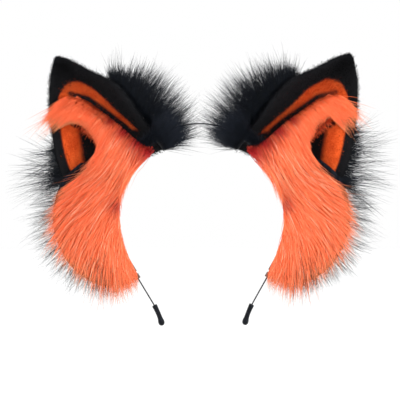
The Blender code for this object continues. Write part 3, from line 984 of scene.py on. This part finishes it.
def build_front_fur(hand, name, seed, lifts):
    """One layer of the orange pile, lifted off its cloth by a share between the two lifts."""
    draw = np.random.default_rng(seed + SIDES[hand])
    count = 5000
    inward, down = draw.uniform(0, 1, count) ** 1.1, draw.uniform(0, 1, count)
    seeds = fur_place(inward, down)
    lengths = draw.uniform(16, 44, count) * np.interp(down, (0, 0.7, 1), (1.0, 0.9, 0.66))
    stray = draw.uniform(0, 1, count) < np.interp(down, (0.5, 0.8), (0.1, 0.2))
    lengths[stray] *= np.interp(down[stray], (0, 0.6, 1), (1.2, 1.25, 1.55))
    hanging = np.exp(-(((seeds[:, 0] - 74) / 14) ** 2)) * np.clip((down - 0.66) / 0.3, 0, 1)
    lengths *= 1 + 1.2 * hanging
    turns = draw.normal(0, 0.04, count) + stray * draw.normal(0.05, 0.18, count)
    room = draw.uniform(-4, 2, count) + 100.0 * down + 24.0 * inward
    before = np.clip(draw.uniform(0.5, 0.95, count) * lengths, 0, np.maximum(room, 0))
    flat = through(seeds, lengths, before, turns, COMBED, draw.normal(0, 0.08, count))
    flat = cut_short(flat, flat.shape[1] - 1, STRAND_POINTS)
    share = np.linspace(0, 1, STRAND_POINTS)[None]
    flat = kept_outside(flat, FUR_LINES, 0.4 + draw.exponential(0.9, count)[:, None] * share)
    lift = draw.uniform(*lifts, count)[:, None]
    height = (1.5 + 12.0 * fur_dome(inward, down))[:, None] * lift
    back = -FUR_FROM - height * np.sin(math.pi * (0.08 + 0.72 * share)) + 2.0 * share**3 * lift
    back = back + closing(flat, lift)
    paths = np.stack((flat[..., 0], back, flat[..., 1]), axis=-1)
    paths = clump(paths, draw, 0.15, 0.14)
    low = np.clip((-106 - flat[:, -1, 1]) / 14, 0, 1)
    beside = np.exp(-(((flat[:, -1, 0] - 82) / 9) ** 2))
    dark = (draw.uniform(0, 1, count) < 0.35 * low * beside).astype(float)
    piece = strand_mesh(f"{hand}_{name}", paths, draw.uniform(0.10, 0.20, count), hand, {
        "tint": hair_tints(draw, count),
        "tan": (np.interp(flat[:, -1, 0], (80, 110), (0.0, 1.0)) + 0.6 * low) * draw.uniform(0.4, 1, count),
        "red": dark_red_share(flat) * 0.9,
        "dark": dark * 0.9,
    })
    dress(piece, orange_fur, "orange_fur", [hand + "_strip_front_pile"])
    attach(piece, hand + "_arm")


def undercoat_finish(name, dark, light):
    """The dense short hair below the long pile, streaked downwards."""
    material, shader, place = new_finish(name, Roughness=0.9, Specular_IOR_Level=0.1)
    streaks = place.stretched((700.0, 700.0, 60.0)).noise(1.0, 3.0)
    feed(shader, Base_Color=streaks.between(0.3, 0.7).mixed(dark, light),
         Normal=streaks.bumped(0.8, 0.001))
    return material


def build_undercoat(hand, name, toward, depth, lines, finish, slot):
    """A domed body of dense short hair on one face of the band."""
    side, fall = grid_shares(26, 34)
    flat = fur_place(0.03 + 0.72 * side, 0.02 + 0.90 * fall, lines)
    near = toward * np.interp(side, (0.72, 0.95), (FUR_FROM, 0.2))
    dome = np.sqrt(np.sin(math.pi * side) * np.sin(math.pi * fall))
    far = toward * (FUR_FROM + 0.3 + depth * dome)
    layers = [np.stack((flat[..., 0], level, flat[..., 1]), axis=-1) for level in (near, far)]
    front, rear = (layers[1], layers[0]) if toward < 0 else (layers[0], layers[1])
    piece = closed_layer(f"{hand}_{name}", front, rear, hand)
    dress(piece, finish, slot)
    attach(piece, hand + "_arm")


orange_undercoat = undercoat_finish("orange_undercoat", (0.62, 0.05, 0.008), (0.92, 0.12, 0.025))
for hand in SIDES:
    build_front_fur(hand, "front_fur", 31, (0.6, 1.0))
    build_front_fur(hand, "front_fur_lower", 37, (0.3, 0.75))
    build_undercoat(hand, "front_undercoat", -1, 6.0, FUR_LINES, orange_undercoat, "orange_fur")

# ---- Rear fur ----
# The same strip in black on the back of the band. Its pile is longer and less combed, so wisps of it
# stand out beyond the orange fur all the way down.
REAR_COMBED = (
    (60, -40, 60), (95, -40, 86), (120, -32, 98), (66, -65, 52),
    (95, -66, 74), (125, -62, 88), (66, -90, 22), (95, -92, 50),
    (125, -92, 68), (60, -110, -5), (85, -115, 26), (112, -112, 46),
    (56, -120, -18), (75, -128, 8),
)
REAR_LINES = (
    ((46, -28), (110, -30)),
    ((58, -42), (126, -44)),
    ((64, -58), (134, -64)),
    ((66.5, -74), (134, -86)),
    ((65, -90), (125, -108)),
    ((61, -103), (110, -124)),
    ((56, -113), (88, -134)),
    ((51.5, -119), (67, -134)),
)


def black_fur_finish():
    """Long black pile with a cold sheen painted into its colour, and painted a little browner and lighter
    at the tips.
    """
    material, shader, place = new_finish("black_fur", Specular_IOR_Level=0.12)
    tint = place.attribute("tint")
    along = place.attribute("along")
    # Painted sheen: each hair's own black tone, cast cold blue, and the tips painted lighter and bluer.
    colour = tint.mixed((0.002, 0.003, 0.004), (0.009, 0.012, 0.019))
    colour = along.between(0.6, 1.0).mixed(colour, (0.013, 0.017, 0.027))
    feed(shader, Base_Color=colour, Roughness=0.4 + tint * 0.2)
    return material


black_fur = black_fur_finish()


def build_rear_fur(hand):
    """The black pile behind the band, left out where the parting shows the ear."""
    draw = np.random.default_rng(51 + SIDES[hand])
    count = 4800
    inward, down = draw.uniform(0, 1, count), draw.uniform(0, 1, count)
    seeds = fur_place(inward, down, REAR_LINES)
    lengths = (13 + 38 * draw.uniform(0, 1, count) ** 2.0) * np.interp(down, (0, 0.7, 1), (0.95, 1.0, 0.9))
    stray = draw.uniform(0, 1, count) < 0.12
    lengths[stray] *= 1.15
    turns = draw.normal(0, 0.12, count) + stray * draw.normal(0, 0.28, count)
    before = np.minimum(draw.uniform(0.5, 0.95, count) * lengths, 6.0 + 100.0 * down + 60.0 * inward)
    flat = through(seeds, lengths, before, turns, REAR_COMBED, draw.normal(-0.1, 0.22, count))
    flat = cut_short(flat, flat.shape[1] - 1, STRAND_POINTS)
    clear = ~inside(flat, WINDOW[hand]).any(axis=1)
    flat, inward, down = kept_outside(flat[clear], REAR_LINES, 0.4), inward[clear], down[clear]
    count = len(flat)
    share = np.linspace(0, 1, STRAND_POINTS)[None]
    lift = draw.uniform(0.2, 1.0, count)[:, None]
    height = (1.5 + 14.0 * fur_dome(inward, down))[:, None] * lift
    back = FUR_FROM + height * np.sin(math.pi * (0.06 + 0.66 * share)) - closing(flat, lift)
    paths = np.stack((flat[..., 0], back, flat[..., 1]), axis=-1)
    paths = clump(paths, draw, 0.10, 0.4)
    piece = strand_mesh(hand + "_rear_fur", paths, draw.uniform(0.07, 0.12, count), hand,
                        {"tint": draw.uniform(0, 1, count)})
    dress(piece, black_fur, "black_fur", [hand + "_strip_rear_pile"])
    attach(piece, hand + "_arm")


black_undercoat = undercoat_finish("black_undercoat", (0.003, 0.003, 0.005), (0.010, 0.012, 0.018))
for hand in SIDES:
    build_rear_fur(hand)
    build_undercoat(hand, "rear_undercoat", 1, 7.0, REAR_LINES, black_undercoat, "black_fur")

# ---- Ruffs ----
# Long black fur on its own cloth, wrapped round the back of each ear from rim to rim. It fans out
# round the ear's foot, thick near the cloth and thinning to single long hairs.
RUFF_FROM = 5.8  # from the lining's middle to the roots of the ruff
RUFF_CLOTH_THICK = 0.8
RUFF_TOP = {"left": (0.28, 0.57), "right": (0.42, 0.57)}


def ruff_hair(hand, name, across, draw):
    """Hair rooted at those shares across the ear, each fanned round the ear's foot."""
    count = len(across)
    top = np.interp(across, (0, 1), RUFF_TOP[hand])
    up = draw.uniform(0, 1, count) ** np.interp(across, (0, 0.3, 0.8), (1.6, 1.0, 1.2)) * top
    normal = cup_normal(across, up, hand)
    root = cup(across, up, hand) + normal * np.interp(up / top, (0.6, 1), (RUFF_FROM, 4.2))[:, None]
    inner_fan = np.interp(up, (0, 0.12, 0.3, 0.45, 0.6), (-62, -42, -22, -4, 22))
    outer_fan = np.interp(up, (0, 0.25, 0.45), (104, 90, 72))
    share = np.clip((across - 0.15) / 0.6, 0, 1)
    fan = np.radians(outer_fan + (inner_fan - outer_fan) * share + draw.normal(0, 14, count))
    stray = draw.uniform(0, 1, count) < np.interp(across, (0, 0.2, 1), (0.25, 0.1, 0.10))
    fan[stray] += np.radians(draw.normal(0, 14, stray.sum()))
    edge = np.abs(2 * across - 1) ** 2
    heading = np.stack((np.sin(fan), np.zeros(count), np.cos(fan)), axis=-1) * (0.35 + 0.65 * edge)[:, None]
    heading += normal * (draw.uniform(0.3, 1.0, count) * (1 - 0.75 * edge))[:, None]
    forward = np.clip((across - 0.9) / 0.1, 0, 1) * np.clip(1 - up / 0.3, 0, 1)
    heading[:, 1] -= forward * draw.uniform(-0.2, 1.6, count)
    inner_long = np.interp(up, (0, 0.12, 0.3, 0.45, 0.6), (32, 46, 43, 24, 8))
    outer_long = np.interp(across, (0, 0.4, 0.75), (15, 20, 12)) * np.interp(up / top, (0.4, 1), (1.0, 0.6))
    long = np.interp(across, (0.6, 0.85), (0, 1)) * (inner_long - outer_long) + outer_long
    lengths = long * draw.uniform(0.35, 1.05, count)
    lengths[stray] = (draw.uniform(16, 54, count) * np.interp(up / top, (0.5, 1), (1.0, 0.5)))[stray]
    sway = draw.normal(0, 1.8, (count, 3)) + (0, 0, -1.5)
    paths = straight_hair(root, heading, lengths, sway, STRAND_POINTS)
    paths = clump(paths, draw, 0.12, 0.35)
    piece = strand_mesh(f"{hand}_{name}", paths, draw.uniform(0.08, 0.14, count), hand,
                        {"tint": draw.uniform(0, 1, count)})
    dress(piece, black_fur, "black_fur", [hand + "_ruff_pile"])
    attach(piece, hand + "_ear")


def build_corner(hand):
    """Hair from the ear's inner corner that comes forward under the band and lies over it."""
    draw = np.random.default_rng(91 + SIDES[hand])
    count = 1300
    up = draw.uniform(0, 0.13, count)
    root = cup(np.full(count, 1.0), up, hand)
    ahead = root + np.stack((draw.normal(0, 0.8, count), -root[:, 1] - draw.uniform(4, 9, count),
                             draw.uniform(-2, 1, count)), axis=-1)
    fan = np.radians(np.interp(up, (0, 0.13), (-62, -34)) + draw.normal(0, 17, count))
    reach = draw.uniform(8, 30, count)[:, None]
    end = ahead + reach * np.stack((np.sin(fan), draw.normal(0, 0.15, count), np.cos(fan)), axis=-1)
    share = np.linspace(0, 1, STRAND_POINTS)[None, :, None]
    start, bend, end = root[:, None], ahead[:, None], end[:, None]
    paths = start * (1 - share) ** 2 + bend * 2 * share * (1 - share) + end * share**2
    hair = strand_mesh(hand + "_corner_hair", clump(paths, draw, 0.12, 0.3), 0.11, hand,
                       {"tint": draw.uniform(0, 1, count)})
    run, aside = draw.uniform(38, 60, count), draw.uniform(-3.5, 4.5, count)
    root = beside_band(run, aside, -4.6)
    heading = draw.normal(0, 0.35, (count, 3)) + (-0.45, -0.35, 0.7)
    lengths = draw.uniform(3.0, 7.5, count)
    paths = straight_hair(root, heading, lengths, draw.normal(0, 0.5, (count, 3)), STRAND_POINTS)
    nap = strand_mesh(hand + "_sleeve_nap", paths, 0.12, hand, {"tint": draw.uniform(0, 0.5, count)})
    for piece in (hair, nap):
        dress(piece, black_fur, "black_fur")
        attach(piece, hand + "_ear")


def build_ruff(hand):
    """The ruff's hair at the inner rim and round the back, its cloth and its undercoat."""
    draw = np.random.default_rng(71 + SIDES[hand])
    count = 5200
    ruff_hair(hand, "inner_ruff", np.clip(1 - np.abs(draw.normal(0, 0.09, count)), 0, 1), draw)
    across = np.concatenate((draw.uniform(0, 0.95, count // 2), np.abs(draw.normal(0, 0.05, count // 6))))
    ruff_hair(hand, "rear_ruff", across, draw)

    side, rise = grid_shares(36, 20)
    across, up = 0.05 + 0.90 * side, 0.03 + rise * 0.88 * np.interp(side, (0, 1), RUFF_TOP[hand])
    middle, normal = cup(across, up, hand), cup_normal(across, up, hand)
    lifted = np.interp(rise, (0.6, 1), (4.8, 3.9))[..., None]
    cloth = closed_layer(hand + "_ruff_cloth", middle + normal * lifted,
                         middle + normal * (lifted + RUFF_CLOTH_THICK), hand)
    dress(cloth, black_plush, "knit_backing", [hand + "_ruff_backing"])
    depth = np.interp(side, (0, 0.5, 1), (2.0, 7.0, 1.0)) * (1 - 0.95 * rise**2)
    dense = closed_layer(hand + "_ruff_undercoat", middle + normal * (lifted + 1.0),
                         middle + normal * (lifted + 1.3 + depth[..., None]), hand)
    dress(dense, black_undercoat, "black_fur")
    for piece in (cloth, dense):
        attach(piece, hand + "_ear")


for hand in SIDES:
    build_ruff(hand)
    build_corner(hand)

# ---- Studio ----
# A white floor under even white light with soft lamps, and the camera square to the front.
CAMERA_AWAY = 1.2
FRAME_WIDE = 0.320
FRAME_MIDDLE_UP = -0.0605
FLOOR_UP = -0.30
FLOOR_HALF = 6.0


def build_floor():
    """A plain white floor."""
    points = [(x * FLOOR_HALF, y * FLOOR_HALF, FLOOR_UP) for x, y in ((-1, -1), (1, -1), (1, 1), (-1, 1))]
    paper = new_mesh("white_floor", points, [(0, 1, 2, 3)])
    material, shader, place = new_finish("white_paper", Roughness=0.9, Specular_IOR_Level=0.1,
                                         Emission_Color=(1, 1, 1, 1), Emission_Strength=0.12)
    shade = place.noise(4.0, 1.0)
    feed(shader, Base_Color=shade.mixed((0.93, 0.93, 0.93), (0.95, 0.95, 0.95)))
    paper.data.materials.append(material)


def add_light(name, place, size, power):
    """A square soft light that faces the object's middle."""
    light = bpy.data.lights.new(name, "AREA")
    light.size, light.energy = size, power
    lamp = bpy.data.objects.new(name, light)
    lamp.location = place
    aim = Vector((0, 0, FRAME_MIDDLE_UP)) - lamp.location
    lamp.rotation_euler = aim.to_track_quat("-Z", "Y").to_euler()
    bpy.context.scene.collection.objects.link(lamp)


build_floor()
add_light("key_light", (-0.7, -1.1, 0.9), 0.8, 15.0)
add_light("fill_light", (0.9, -1.0, 0.2), 0.9, 8.0)
add_light("back_light", (0.0, 0.9, 1.0), 0.8, 7.0)
world = bpy.data.worlds.new("studio")
world.use_nodes = True
world.node_tree.nodes["Background"].inputs["Color"].default_value = (1, 1, 1, 1)
world.node_tree.nodes["Background"].inputs["Strength"].default_value = 1.0
bpy.context.scene.world = world
bpy.context.scene.view_settings.view_transform = "Standard"

camera_data = bpy.data.cameras.new("camera")
camera_data.lens = camera_data.sensor_width * CAMERA_AWAY / FRAME_WIDE
camera = bpy.data.objects.new("camera", camera_data)
camera.location = (0, -CAMERA_AWAY, FRAME_MIDDLE_UP)
camera.rotation_euler = (math.pi / 2, 0, 0)
bpy.context.scene.collection.objects.link(camera)
bpy.context.scene.camera = camera
